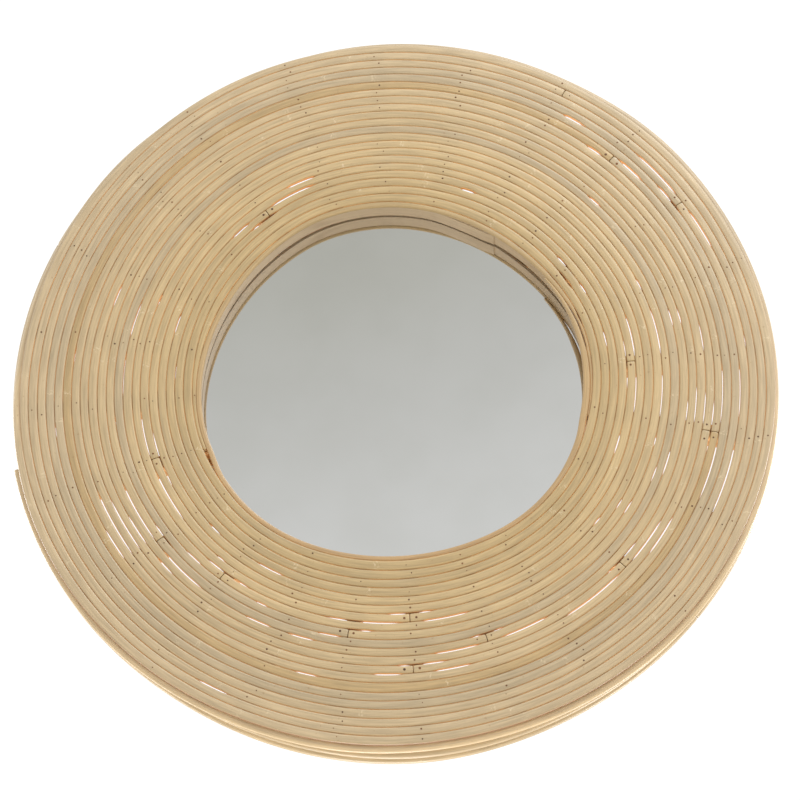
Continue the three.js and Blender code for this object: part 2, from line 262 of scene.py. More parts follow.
def linear(screen):
    """A screen colour from 0 to 255 as linear light."""
    values = np.asarray(screen, float) / 255
    return np.where(values <= 0.04045, values / 12.92, ((values + 0.055) / 1.055) ** 2.4)


def rgba(screen):
    return (*linear(screen), 1.0)


def smoothstep(value, low, high):
    share = np.clip((value - low) / (high - low), 0, 1)
    return share * share * (3 - 2 * share)


def waves(angle, *terms):
    """A sum of sines: each term is a height, a frequency and a phase."""
    return sum(height * np.sin(np.radians(frequency * angle) + phase) for height, frequency, phase in terms)


def to_frame(radius, angle, depth):
    """Points of the frame, in metres, from radius, angle and depth behind the canes' middle."""
    turned = np.radians(angle)
    x = radius * np.cos(turned) * MM
    y = FACE_Y + depth * MM + 0 * x
    z = CENTRE_Z - radius * np.sin(turned) * MM
    return np.stack([x, y, z], axis=-1)


# Winding: every turn fills the room between two gap lines

def joint_angle(turn, rib):
    return 360 * turn + RIB_ANGLES[rib] + JOINT_SHIFT


def apart(angle, other):
    """Degrees from one direction to another, from -180 to 180."""
    return np.mod(angle - other + 180, 360) - 180


def bump(angle, middle, spread):
    """A soft bump around one direction: 1 in its middle, and next to nothing two spreads away."""
    return np.exp(-(apart(angle, middle) / spread) ** 2)


def straying(angle):
    share = smoothstep(angle / 360, *STRAY_TURNS)
    return sum((inner + (outer - inner) * share) * bump(angle, middle, spread)
               for middle, spread, inner, outer in STRAYS)


def slipped(angle):
    """How far the spiral has slipped inwards and back."""
    angles, *columns = zip(*SLIPS)
    return [np.mean([np.interp(angle + ease, angles, column) for ease in SLIP_EASE], axis=0)
            for column in columns]


def sunk_share(angle):
    """How far the spiral has slipped back, from 0 to 1."""
    return np.clip(slipped(angle)[1] / SLIP_FULL, 0, 1)


def lobe(angle):
    flats = sum(np.maximum(0, np.cos(np.radians(angle - flat))) ** FLAT_SHARPNESS for flat in FLAT_ANGLES)
    fade = np.exp(-angle / 360 / FLAT_FADE)
    soft = LOBE_HEIGHT * np.cos(LOBE_COUNT * np.radians(angle - LOBE_ANGLE))
    return soft - FLAT_DEPTH * fade * flats


def gap_line(angle):
    uneven = waves(angle, (0.22, 2.63, 1.1), (0.16, 4.71, 2.7), (0.1, 9.3, 0.4))
    return SPIRAL_RADIUS + PITCH * (angle / 360 - 0.5) + lobe(angle) + straying(angle) + uneven


def over_ribs(angle, radius):
    """How much each station lies over a rib, from 0 to 1."""
    nearest = np.min([np.abs(apart(angle, rib)) for rib in RIB_ANGLES], axis=0)
    return 1 - smoothstep(np.radians(nearest) * radius, *RIB_SHADE)


def slit_width(angle):
    """How far the two canes beside a gap line stand apart, by the line's angle."""
    width = np.zeros_like(angle)
    for line, stretches in SLITS.items():
        for start, end in stretches:
            first, last = 360 * line + start, 360 * line + end
            most = np.clip(SLIT_LEAST + SLIT_GROWTH * (end - start), SLIT_LEAST, SLIT_MOST)
            middle = math.radians((start + end) / 2)
            right, down = math.cos(middle), math.sin(middle)
            most = most + SLIT_SLOPE * abs(down) * (1 - SLIT_RISE * down)
            most = most * (1 + SLIT_LEAN * right)
            most = most + SLIT_UPPER * smoothstep(-down, 0, SLIT_UPPER_EASE)
            ramp = max(SLIT_RAMP, SLIT_TAPER * (end - start))
            opened = smoothstep(angle, first - ramp / 2, first + ramp / 2)
            closed = smoothstep(angle, last - ramp / 2, last + ramp / 2)
            width = np.maximum(width, most * (opened - closed))
    radius = SPIRAL_RADIUS + PITCH * angle / 360
    return width * (1 - SLIT_PINCH * over_ribs(angle, radius))


def spiral_profile(angle):
    """Inner and outer radius and depth of the spiral's cane."""
    angle = np.asarray(angle, float)
    inward, back = slipped(angle)
    shaved = (PITCH - START_WIDTH) * (1 - smoothstep(angle, SPIRAL_START, SPIRAL_START + START_TAPER))
    inner = gap_line(angle) - CANE_OVERLAP + shaved - inward + slit_width(angle) / 2
    outer = gap_line(angle + 360) + CANE_OVERLAP - inward - slit_width(angle + 360) / 2
    depth = back + waves(angle, (0.14, 3.17, 0.3), (0.1, 7.7, 1.9))
    return inner, outer, depth


def innermost(angle):
    """The radius that the edging cane lies against, by its own angle."""
    first_end = 720 + SPIRAL_START
    beyond = spiral_profile(angle - 720)[0]
    turn_side = spiral_profile(angle - 360)[0]
    end_side = spiral_profile(SPIRAL_START)[0]
    lead = smoothstep(angle, first_end - EDGING_LEAD, first_end - EDGING_LEAD_END)
    return np.where(angle >= first_end, beyond, turn_side + (end_side - turn_side) * lead)


def wedge_width(along):
    """Width of the edging cane's last end, by the angle along the overlap."""
    return EDGING_WIDTH + (EDGING_TIP_WIDTH - EDGING_WIDTH) * np.clip(along / EDGING_OVERLAP, 0, 1)


def slot_width(angle, slot):
    start, end, width = slot
    place = np.mod(angle, 360)
    opened = smoothstep(place, start, start + SLOT_RAMP)
    closed = smoothstep(place, end - SLOT_RAMP, end)
    return width * (opened - closed)


def edging_profile(angle):
    along = angle - EDGING_START
    swell = np.maximum(0, np.cos(np.radians(angle - EDGING_SWELL_ANGLE))) ** EDGING_SWELL_SHARPNESS
    full = EDGING_WIDTH + EDGING_SWELL * swell
    first_width = EDGING_TIP_WIDTH + (full - EDGING_TIP_WIDTH) * np.clip(along / EDGING_FIRST_TAPER, 0, 1)
    closing = 1 - smoothstep(along, EDGING_OVERLAP, EDGING_OVERLAP + EDGING_CLOSING)
    in_overlap = along < EDGING_OVERLAP
    outer = np.where(
        in_overlap,
        innermost(angle + 360) - wedge_width(along),
        innermost(angle) - EDGING_TIP_WIDTH * closing,
    )
    width = np.where(in_overlap, first_width, full)
    width = np.where(along > 360, wedge_width(along - 360), width)
    between_ends = slot_width(angle, ENDS_SLOT) / 2
    inner = outer - width + between_ends * (along > 360)
    outer = outer + CANE_OVERLAP - between_ends * in_overlap - slot_width(angle, TURN_SLOT) * (along > 360)
    return inner, outer, width


def rim_shift(angle):
    uneven = sum(out * bump(angle, middle, spread) for middle, spread, out in RIM_STRAYS)
    return RIM_OFFSET * np.cos(np.radians(angle - RIM_OFFSET_ANGLE)) + uneven


# Meshes

def new_piece(name, vertices, faces, smooth, material):
    mesh = bpy.data.meshes.new(name)
    mesh.from_pydata(vertices.tolist(), [], faces)
    mesh.polygons.foreach_set("use_smooth", smooth)
    mesh.materials.append(material)
    mesh.update()
    piece = bpy.data.objects.new(name, mesh)
    bpy.context.scene.collection.objects.link(piece)
    return piece


def rounded_section(outer_power, inner_power, back_power):
    """Corners of a rounded section from -1 to 1: outwards, and towards the front.

    A power of 2 is an ellipse and more is squarer: for the outer and inner half of the front, and the back.
    """
    around = 2 * np.pi * np.arange(SECTION_SIDES) / SECTION_SIDES
    cosine, sine = np.cos(around), np.sin(around)
    power = np.where(sine < 0, back_power, np.where(cosine > 0, outer_power, inner_power))
    across = np.sign(cosine) * np.abs(cosine) ** (2 / power)
    front = np.sign(sine) * np.abs(sine) ** (2 / power)
    return across, front


def blended(first, second, share):
    """A section for every station, between two sections."""
    weight = share[:, None]
    return tuple((1 - weight) * start + weight * end for start, end in zip(first, second))


def sweep(name, section, angle, inner, outer, depth, height, tint, material,
          touching=(0, 0), sunk=(0, 0), scars=0):
    """A bar bent around the centre, closed at both ends, with length and girth as its coordinates.

    touching says how much its inner and outer side lie against a neighbour, sunk how far one of the two
    has slipped back there, and scars where it has leaf scars. It also keeps how much of it lies over a rib.
    """
    count = len(angle)
    sides = section[0].shape[-1]
    across, front = (np.broadcast_to(values, (count, sides)) for values in section)
    radius = ((inner + outer) / 2)[:, None] + ((outer - inner) / 2)[:, None] * across
    depths = depth[:, None] - height[:, None] * front
    vertices = to_frame(radius, angle[:, None], depths).reshape(-1, 3)
    station, corner = np.meshgrid(np.arange(count - 1), np.arange(sides), indexing="ij")
    following = (corner + 1) % sides
    quads = np.stack([
        station * sides + corner,
        station * sides + following,
        (station + 1) * sides + following,
        (station + 1) * sides + corner,
    ], axis=-1).reshape(-1, 4)
    first_cap = list(range(sides - 1, -1, -1))
    last_cap = list(range((count - 1) * sides, count * sides))
    faces = quads.tolist() + [first_cap, last_cap]
    smooth = [True] * len(quads) + [False, False]
    piece = new_piece(name, vertices, faces, smooth, material)

    along = np.concatenate([[0], np.cumsum(np.diff(np.radians(angle)) * ((inner + outer) / 2)[1:] * MM)])
    girth = np.stack([corner, corner + 1, corner + 1, corner], axis=-1) / sides
    lengths = along[np.stack([station, station, station + 1, station + 1], axis=-1)]
    quad_uv = np.stack([lengths, girth], axis=-1).reshape(-1, 2)
    cap_uv = np.concatenate([
        np.full((sides, 2), (along[0], 0.25)),
        np.full((sides, 2), (along[-1], 0.25)),
    ])
    layer = piece.data.uv_layers.new(name="cane")
    layer.data.foreach_set("uv", np.concatenate([quad_uv, cap_uv]).ravel())
    colours = np.concatenate([np.repeat(tint, sides, axis=0), np.ones((count * sides, 1))], axis=1)
    attribute = piece.data.color_attributes.new("tint", "FLOAT_COLOR", "POINT")
    attribute.data.foreach_set("color", colours.ravel())
    marks = {}
    for key, sides_of_it in (("touch", touching), ("sunk", sunk)):
        inner_side, outer_side = (np.broadcast_to(share, count)[:, None] for share in sides_of_it)
        marks[key] = np.where(across > 0, outer_side, inner_side)
    marks["scar"] = np.broadcast_to(np.broadcast_to(scars, count)[:, None], (count, sides))
    marks["over_rib"] = np.broadcast_to(over_ribs(angle, (inner + outer) / 2)[:, None], (count, sides))
    for key, values in marks.items():
        attribute = piece.data.attributes.new(key, "FLOAT", "POINT")
        attribute.data.foreach_set("value", values.ravel())
    return piece


def stations(start, end, radius, marks=()):
    """Angles of a bar's sections: an even grid, with more of them at its ends and around its marks."""
    degrees = math.degrees(1 / radius)
    grid = np.arange(math.ceil(start / ANGLE_STEP), math.floor(end / ANGLE_STEP) + 1) * ANGLE_STEP
    ends = [start + offset * degrees for offset in END_OFFSETS]
    ends += [end - offset * degrees for offset in END_OFFSETS]
    around = [mark + offset * degrees for mark in marks for offset in SCAR_OFFSETS]
    angles = np.unique(np.concatenate([grid, ends, around]))
    angles = angles[(angles >= start) & (angles <= end)]
    keep = np.concatenate([[True], np.diff(angles) > LEAST_STEP])
    keep[-1] = True
    return angles[keep]


def end_scale(angle, radius):
    """Share of the full section that is left close to the two cut ends."""
    from_end = np.radians(np.minimum(angle - angle[0], angle[-1] - angle)) * radius
    return 1 - END_ROUNDING * np.exp(-from_end / END_FADE)


# Materials

class Graph:
    """A material's nodes, one call for each."""

    def __init__(self, name):
        self.material = bpy.data.materials.new(name)
        self.material.use_nodes = True
        self.tree = self.material.node_tree
        self.shader = self.tree.nodes["Principled BSDF"]

    def node(self, kind, inputs=(), **settings):
        made = self.tree.nodes.new(kind)
        for key, value in settings.items():
            setattr(made, key, value)
        for socket, value in dict(inputs).items():
            self.feed(made, socket, value)
        return made

    def feed(self, target, socket, value):
        if isinstance(value, bpy.types.NodeSocket):
            self.tree.links.new(value, target.inputs[socket])
        else:
            target.inputs[socket].default_value = value

    def surface(self, **values):
        for socket, value in values.items():
            self.feed(self.shader, socket.replace("_", " "), value)

    def math(self, operation, first, second=0.0):
        return self.node("ShaderNodeMath", {0: first, 1: second}, operation=operation).outputs[0]

    def attribute(self, name):
        return self.node("ShaderNodeAttribute", attribute_name=name).outputs[0 if name == "tint" else 2]

    def scaled(self, vector, scale):
        made = self.node("ShaderNodeVectorMath", {0: vector, 1: scale}, operation="MULTIPLY")
        return made.outputs[0]

    def noise(self, vector, detail=3.0, roughness=0.55):
        inputs = {"Vector": vector, "Scale": 1.0, "Detail": detail, "Roughness": roughness}
        return self.node("ShaderNodeTexNoise", inputs).outputs[0]

    def band(self, value, low, high, to_low=0.0, to_high=1.0):
        inputs = {"Value": value, "From Min": low, "From Max": high, "To Min": to_low, "To Max": to_high}
        made = self.node("ShaderNodeMapRange", inputs, interpolation_type="SMOOTHSTEP")
        return made.outputs[0]

    def mix(self, factor, first, second, blend="MIX"):
        made = self.node("ShaderNodeMix", data_type="RGBA", blend_type=blend)
        for index, value in ((0, factor), (6, first), (7, second)):
            self.feed(made, index, value)
        return made.outputs[2]

    def grey(self, value):
        made = self.node("ShaderNodeCombineColor", {0: value, 1: value, 2: value})
        return made.outputs[0]

    def bump(self, height, strength, distance):
        inputs = {"Height": height, "Strength": strength, "Distance": distance * MM}
        return self.node("ShaderNodeBump", inputs).outputs[0]


def rattan_material():
    graph = Graph("rattan")
    place = graph.node("ShaderNodeUVMap", uv_map="cane").outputs[0]
    girth = graph.node("ShaderNodeSeparateXYZ", {0: place}).outputs[1]
    tint = graph.attribute("tint")
    fibres = graph.noise(graph.scaled(place, (30, 26, 1)), detail=4)
    streaks = graph.noise(graph.scaled(place, (11, 11, 1)), detail=3)
    patches = graph.noise(graph.scaled(place, (7, 1.2, 1)), detail=2)
    flecks = graph.noise(graph.scaled(place, (260, 9, 1)), detail=2)
    groove_mottle = graph.noise(graph.scaled(place, (17, 2, 1)), detail=3)
    squiggles = graph.noise(graph.scaled(place, (420, 16, 1)), detail=2)
    side = graph.math("ABSOLUTE", graph.math("COSINE", graph.math("MULTIPLY", girth, 2 * math.pi)))

    shade = graph.grey(graph.band(fibres, 0.3, 0.7, 0.88, 1.1))
    colour = graph.mix(1.0, tint, shade, "MULTIPLY")
    shade = graph.grey(graph.band(streaks, 0.25, 0.75, 0.9, 1.08))
    colour = graph.mix(1.0, colour, shade, "MULTIPLY")
    colour = graph.mix(graph.band(patches, 0.52, 0.75, 0.0, 0.35), colour, rgba(GREY_BROWN))
    colour = graph.mix(graph.band(flecks, 0.66, 0.76, 0.0, 0.35), colour, rgba(FLECK_BROWN))
    scar = graph.math("MULTIPLY", graph.attribute("scar"), graph.band(squiggles, 0.5, 0.62, 0.0, 0.6))
    colour = graph.mix(scar, colour, rgba(SCAR_PALE))
    # Painted light and shade in the grooves where canes touch: an orange glow for light shining through the
    # canes from behind, brown painted shade over the ribs, where no light comes through, and brown in random
    # patches elsewhere.
    over_rib = graph.math("MULTIPLY", graph.attribute("over_rib"), graph.band(groove_mottle, 0.3, 0.5, 0.4, 1.0))
    brown = graph.math("MAXIMUM", over_rib, graph.band(groove_mottle, 0.46, 0.72, 0.0, 0.8))
    groove = graph.mix(brown, rgba(GROOVE_GLOW), rgba(GROOVE_SHADE))
    # Darker brown painted shade where the neighbouring turn has slipped back.
    groove = graph.mix(graph.attribute("sunk"), groove, rgba(SUNK_SHADE))
    in_groove = graph.math("MULTIPLY", graph.attribute("touch"), graph.band(side, 0.76, 0.97, 0.0, 0.9))
    colour = graph.mix(in_groove, colour, groove)
    roughness = graph.band(streaks, 0.2, 0.8, 0.42, 0.6)
    graph.surface(Base_Color=colour, Roughness=roughness, Normal=graph.bump(fibres, 0.35, 0.25))
    graph.surface(Coat_Weight=0.4, Coat_Roughness=0.2)
    return graph.material


def strip_material():
    graph = Graph("bent_strip")
    place = graph.node("ShaderNodeUVMap", uv_map="cane").outputs[0]
    tint = graph.attribute("tint")
    fibres = graph.noise(graph.scaled(place, (9, 70, 1)), detail=4)
    stains = graph.noise(graph.scaled(place, (16, 5, 1)), detail=3)
    shade = graph.grey(graph.band(fibres, 0.3, 0.7, 0.86, 1.06))
    colour = graph.mix(1.0, tint, shade, "MULTIPLY")
    colour = graph.mix(graph.band(stains, 0.5, 0.75, 0.0, 0.35), colour, rgba(STAIN_BROWN))
    roughness = graph.band(fibres, 0.2, 0.8, 0.5, 0.7)
    graph.surface(Base_Color=colour, Roughness=roughness, Normal=graph.bump(fibres, 0.4, 0.2))
    return graph.material


def wood_material(name, base, dark, radial):
    """Sawn wood, with its grain along X or outwards from the mirror's middle."""
    graph = Graph(name)
    place = graph.node("ShaderNodeTexCoord").outputs["Object"]
    if radial:
        parts = graph.node("ShaderNodeSeparateXYZ", {0: place})
        x, y, z = parts.outputs
        z = graph.math("SUBTRACT", z, CENTRE_Z)
        out_x, out_z = graph.math("MULTIPLY", x, x), graph.math("MULTIPLY", z, z)
        radius = graph.math("SQRT", graph.math("ADD", out_x, out_z))
        turned = graph.math("MULTIPLY", graph.math("ARCTAN2", z, x), RIB_MIDDLE * MM)
        place = graph.node("ShaderNodeCombineXYZ", {0: radius, 1: turned, 2: y}).outputs[0]
    grain = graph.noise(graph.scaled(place, (9, 260, 260)), detail=5)
    figure = graph.noise(graph.scaled(place, (5, 45, 45)), detail=3)
    colour = graph.mix(graph.band(grain, 0.35, 0.72), rgba(base), rgba(dark))
    shade = graph.grey(graph.band(figure, 0.25, 0.75, 0.86, 1.08))
    colour = graph.mix(1.0, colour, shade, "MULTIPLY")
    # Painted light: a rib's front keeps the paler colours, and towards its back it turns to its own browner
    # wood.
    if radial:
        behind = graph.band(y, FACE_Y + RIB_FRONT_END * MM, FACE_Y + RIB_BACK_START * MM)
        colour = graph.mix(behind, colour, rgba(RIB_BACK), "MULTIPLY")
    roughness = graph.band(grain, 0.2, 0.8, 0.6, 0.82)
    graph.surface(Base_Color=colour, Roughness=roughness, Normal=graph.bump(grain, 0.5, 0.25))
    return graph.material


def mirror_material():
    graph = Graph("mirror")
    place = graph.node("ShaderNodeTexCoord").outputs["Object"]
    film = graph.noise(graph.scaled(place, (9, 9, 9)), detail=3)
    roughness = graph.band(film, 0.3, 0.75, 0.02, 0.06)
    haze = graph.mix(graph.band(film, 0.3, 0.75), rgba(HAZE_LIGHT), rgba(HAZE_DARK))
    graph.surface(Base_Color=haze, Metallic=1.0, Roughness=roughness)
    return graph.material


def nail_material():
    graph = Graph("nail_steel")
    place = graph.node("ShaderNodeTexCoord").outputs["Object"]
    rust = graph.noise(graph.scaled(place, (90, 90, 90)), detail=3)
    colour = graph.mix(graph.band(rust, 0.35, 0.65), rgba(NAIL_DARK), rgba(NAIL_RUST))
    graph.surface(Base_Color=colour, Roughness=graph.band(rust, 0.3, 0.7, 0.6, 0.85))
    return graph.material


def floor_material():
    graph = Graph("floor")
    place = graph.node("ShaderNodeTexCoord").outputs["Object"]
    cloud = graph.noise(graph.scaled(place, (0.8, 0.8, 0.8)), detail=2)
    colour = graph.mix(graph.band(cloud, 0.3, 0.7), rgba(FLOOR_PALE), rgba(FLOOR_DIM))
    graph.surface(Base_Color=colour, Roughness=0.85)
    return graph.material


RATTAN = rattan_material()
STRIP = strip_material()
RIB_WOOD = wood_material("rib_wood", RIB_LIT_BROWN, RIB_LIT_DARK, radial=True)
BOARD = wood_material("board", BOARD_TAN, BOARD_DARK, radial=False)
MIRROR = mirror_material()
NAIL = nail_material()


# Pieces

PRESSED = rounded_section(4.2, 4.2, 2.0)        # a cane between two others
LAST_TURN = rounded_section(2.3, 4.2, 2.0)      # a cane with its outer side free
FIRST_TURN = rounded_section(4.2, 2.3, 2.0)     # a cane with its inner side free
ROUND = rounded_section(2.2, 2.2, 2.2)
FLAT = (np.array([1.0, 1.0, -1.0, -1.0]), np.array([-1.0, 1.0, 1.0, -1.0]))


def cane_tint(index, angle):
    """Colour along a cane: yellower inside, paler outside, with a few lengths of their own colour."""
    share = np.clip(angle / SPIRAL_END, 0, 1)[:, None]
    tint = linear(HONEY) * (1 - share) + linear(STRAW) * share
    if index in GREY_CANES:
        tint = (1 - GREY_SHARE) * tint + GREY_SHARE * linear(GREY_BROWN)
    if index == GOLDEN_CANE:
        tint = (1 - GOLD_SHARE) * tint + GOLD_SHARE * linear(GOLD)
    brightness = 1 + CANE_SPREAD * rng.standard_normal()
    drift = waves(angle, (0.025, 1.7, index), (0.02, 5.3, 2.0 * index), (0.012, 13.1, 0.7 * index))
    return np.clip(tint * (brightness + drift)[:, None], 0, 1)


def around_marks(angle, marks, radius, reach):
    """How near each station is to one of the marks, from 0 to 1, fading over the reach."""
    near = [np.exp(-(np.radians(angle - mark) * radius / reach) ** 2) for mark in marks]
    return sum(near) + 0 * angle


def node_marks(start, end, radius):
    """Angles of the scars where the cane's leaves grew, at uneven distances."""
    marks = []
    place = start + math.degrees(rng.uniform(*SCAR_FIRST) / radius)
    while place < end:
        marks.append(place)
        place += math.degrees(rng.uniform(*SCAR_SPACING) / radius)
    return marks


def finish_piece(piece, slot, *replaced):
    """Every piece belongs to the one body, and most take the place of a solid."""
    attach(piece, "root")
    if replaced:
        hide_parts(*replaced)


def make_canes():
    ends = [SPIRAL_START] + [joint_angle(turn, rib) for turn, rib in JOINTS] + [SPIRAL_END]
    for index, (first, last) in enumerate(zip(ends, ends[1:])):
        radius = SPIRAL_RADIUS + PITCH * (first + last) / 720
        half_gap = math.degrees(BUTT_GAP / 2 / radius)
        marks = node_marks(first, last, radius)
        angle = stations(first + half_gap, last - half_gap, radius, marks)
        inner, outer, depth = spiral_profile(angle)
        scars = around_marks(angle, marks, radius, SCAR_REACH)
        scale = end_scale(angle, radius)
        free = smoothstep(angle, SPIRAL_END - FREE_FROM, SPIRAL_END - FREE_TO)
        tuck = smoothstep(angle, SPIRAL_END - TUCK_LENGTH, SPIRAL_END)
        middle = (inner + outer) / 2 - TUCK_INWARD * tuck
        half = ((outer - inner) / 2 - TUCK_THINNING * tuck) * scale
        height = (CANE_HEIGHT + SCAR_SWELLING * scars - TUCK_THINNING * tuck) * scale
        height = height * np.clip(half / THIN_HALF, THIN_LEAST, 1)
        depth = depth + TUCK_DEPTH * tuck
        # Painted light: the slipped last turn is made paler in the lower half, where little light reaches it
        # from below.
        below = smoothstep(np.sin(np.radians(angle)), *SUNK_BELOW)
        paler = 1 + SUNK_PAINTED_LIGHT * below * sunk_share(angle)
        tint = np.clip(cane_tint(index, angle) * paler[:, None], 0, 1)
        name = f"cane_{index + 1:02d}"
        # touching marks the sides where the rattan material paints its groove glow and shade.
        cane = sweep(
            name + "_round", blended(PRESSED, LAST_TURN, free), angle, middle - half, middle + half, depth,
            height, tint, RATTAN, touching=(1 - tuck, 1 - free),
            # sunk: darker painted shade in its outer groove, where the next turn has slipped back
            sunk=(0, sunk_share(angle + 360)), scars=scars,
        )
        finish_piece(cane, "rattan", name)


def make_edging():
    start, end = EDGING_START, EDGING_START + 360 + EDGING_OVERLAP
    angle = stations(start, end, SPIRAL_RADIUS)
    inner, outer, width = edging_profile(angle)
    scale = end_scale(angle, SPIRAL_RADIUS)
    middle, half = (inner + outer) / 2, (outer - inner) / 2 * scale
    full = np.clip(width / EDGING_WIDTH, 0, 1)
    height = EDGING_HEIGHT * scale * (EDGING_TIP_HEIGHT + (1 - EDGING_TIP_HEIGHT) * full)
    depth = waves(angle, (0.1, 3.1, 0.2))
    tan = (EDGING_TAN_SHARE + (1 - EDGING_TAN_SHARE) * np.sin(np.radians(angle)))[:, None]
    shade = 1 - tan + tan * linear(EDGING_TAN) / linear(HONEY)
    # Its outer side touches the first turn, so the rattan material paints groove glow and shade there.
    edging = sweep(
        "edging_cane_round", FIRST_TURN, angle, middle - half, middle + half, depth,
        height, cane_tint(-1, angle) * shade, RATTAN, touching=(0, 1),
    )
    finish_piece(edging, "rattan", "edging_cane")


def make_rim_canes():
    for index, (name, diameter, radius, depth, joint) in enumerate(RIM_CANES):
        half_gap = math.degrees(BUTT_GAP / 2 / radius)
        marks = node_marks(joint, joint + 360, radius)
        angle = stations(joint + half_gap, joint + 360 - half_gap, radius, marks)
        middle = radius + rim_shift(angle) + waves(angle, (0.3, 3, index), (0.2, 7, 2.0))
        half = diameter / 2 * end_scale(angle, radius)
        depths = depth + waves(angle, (0.3, 2, 1.0 + index), (0.2, 5, 0.4))
        scars = around_marks(angle, marks, radius, SCAR_REACH)
        cane = sweep(
            name + "_round", ROUND, angle, middle - half, middle + half, depths,
            half, cane_tint(RIM_NUMBER + index, angle + 360 * RIM_TURN), RATTAN, scars=scars,
        )
        finish_piece(cane, "rattan", name)


def hoop_inner(angle):
    return innermost(360 + np.mod(angle, 360)) - EDGING_WIDTH + HOOP_INSET


def make_hoop():
    start, end = HOOP_JOINT, HOOP_JOINT + 360 + HOOP_LAP
    angle = stations(start, end, SPIRAL_RADIUS)
    lap = smoothstep(angle, HOOP_JOINT + 360 - HOOP_LAP_EASE, HOOP_JOINT + 360)
    inner = hoop_inner(angle) - (HOOP_THICKNESS + HOOP_LAP_ROOM) * lap
    back = HOOP_BACK - sum(lift * bump(angle, middle, spread) for middle, spread, lift in HOOP_LIFTS)
    depth = (HOOP_FRONT + back) / 2
    height = (back - HOOP_FRONT) / 2 + waves(angle, (0.15, 3.3, 1.0))
    shade = 1 + waves(angle, (0.05, 1.3, 0.2), (0.04, 3.7, 2.0))
    tint = linear(HOOP_GREY) * shade[:, None] * (1 - bump(angle, *HOOP_WARM)[:, None] * HOOP_WARMTH)
    thinned = smoothstep(angle, end - HOOP_LAP / 2, end)
    outer = inner + HOOP_THICKNESS
    inner = inner + (HOOP_THICKNESS - HOOP_END) * thinned
    hoop = sweep("inner_hoop_bent", FLAT, angle, inner, outer, depth, height, tint, STRIP)
    hoop.data.polygons.foreach_set("use_smooth", [False] * len(hoop.data.polygons))
    finish_piece(hoop, "bent_strip", "inner_hoop")


def make_disc(name, node, radius, front, thickness, chamfer, material, slot):
    """A round plate with a small chamfer on both edges."""
    turned = 2 * np.pi * np.arange(DISC_SIDES) / DISC_SIDES
    rings = (
        (radius - chamfer, front), (radius, front + chamfer),
        (radius, front + thickness - chamfer), (radius - chamfer, front + thickness),
    )
    vertices = np.concatenate([to_frame(ring, np.degrees(turned), depth) for ring, depth in rings])
    faces = [list(range(DISC_SIDES))]
    for ring in range(len(rings) - 1):
        low, high = ring * DISC_SIDES, (ring + 1) * DISC_SIDES
        for side in range(DISC_SIDES):
            following = (side + 1) % DISC_SIDES
            faces.append([low + side, high + side, high + following, low + following])
    last = (len(rings) - 1) * DISC_SIDES
    faces.append(list(range(last + DISC_SIDES - 1, last - 1, -1)))
    plate = new_piece(name, vertices, faces, [False] * len(faces), material)
    finish_piece(plate, slot, node)


def nail_points(radius, angle, depth, size):
    """A small domed head on the front of a cane."""
    centre = to_frame(np.float64(radius), np.float64(angle), np.float64(depth))
    turned = 2 * np.pi * np.arange(NAIL_SIDES) / NAIL_SIDES
    points = []
    for share, rise in NAIL_RINGS:
        ring = np.zeros((NAIL_SIDES, 3))
        ring[:, 0] = share * size * MM * np.cos(turned)
        ring[:, 1] = -rise * NAIL_HEIGHT * MM
        ring[:, 2] = share * size * MM * np.sin(turned)
        points.append(centre + ring)
    return np.concatenate(points)


def nail_faces(offset):
    faces = []
    for ring in range(len(NAIL_RINGS) - 1):
        for side in range(NAIL_SIDES):
            following = (side + 1) % NAIL_SIDES
            low, high = offset + ring * NAIL_SIDES, offset + (ring + 1) * NAIL_SIDES
            faces.append([low + side, low + following, high + following, high + side])
    top = offset + (len(NAIL_RINGS) - 1) * NAIL_SIDES
    faces.append([top + side for side in range(NAIL_SIDES)])
    faces.append([offset + NAIL_SIDES - 1 - side for side in range(NAIL_SIDES)])
    return faces


def nail_places():
    """Radius, angle, depth and size of the nail heads: on many canes over each rib, and beside the joints."""
    places = []
    for rib, direction in enumerate(RIB_ANGLES):
        for turn in NAILED_TURNS:
            angle = 360 * turn + direction
            jitter, side = rng.uniform(-NAIL_SCATTER, NAIL_SCATTER, 2)
            lot = rng.uniform()
            if not SPIRAL_START + NAIL_FREE_END < angle < SLIP_START:
                continue
            at_joint = (turn, rib) in JOINTS
            if not at_joint and lot > NAILED_SHARE:
                continue
            beside = [JOINT_SHIFT + place + jitter / divisor for place, divisor in JOINT_NAIL_PLACES]
            offsets = beside if at_joint else (jitter,)
            size = rng.uniform(NAIL_LEAST, NAIL_MOST) * (JOINT_NAIL if at_joint else 1)
            for offset in offsets:
                inner, outer, depth = spiral_profile(angle + offset)
                places.append(((inner + outer) / 2 + side, angle + offset, depth - CANE_HEIGHT, size))
    return places


def make_nails():
    points, faces = [], []
    for place in nail_places():
        faces += nail_faces(len(points) * len(NAIL_RINGS) * NAIL_SIDES)
        points.append(nail_points(*place))
    vertices = np.concatenate(points)
    nails = new_piece("cane_nails", vertices, faces, [True] * len(faces), NAIL)
    finish_piece(nails, "rib_wood")


def dress_solids():
    """Ribs and hanging bar keep their solids, with eased edges and wood."""
    for name, solid in nodes.items():
        if name.startswith("rib_") or name == "hanging_bar":
            material = BOARD if name == "hanging_bar" else RIB_WOOD
            solid.data.materials.clear()
            solid.data.materials.append(material)
            bevel = solid.modifiers.new("eased_edges", "BEVEL")
            bevel.width = EASED_EDGE * MM
            bevel.segments = EASED_SEGMENTS
            bevel.limit_method = "ANGLE"


# Stage, light and camera: places and distances are metres

FLOOR_HALF, FLOOR_Z = 6.0, -1.95

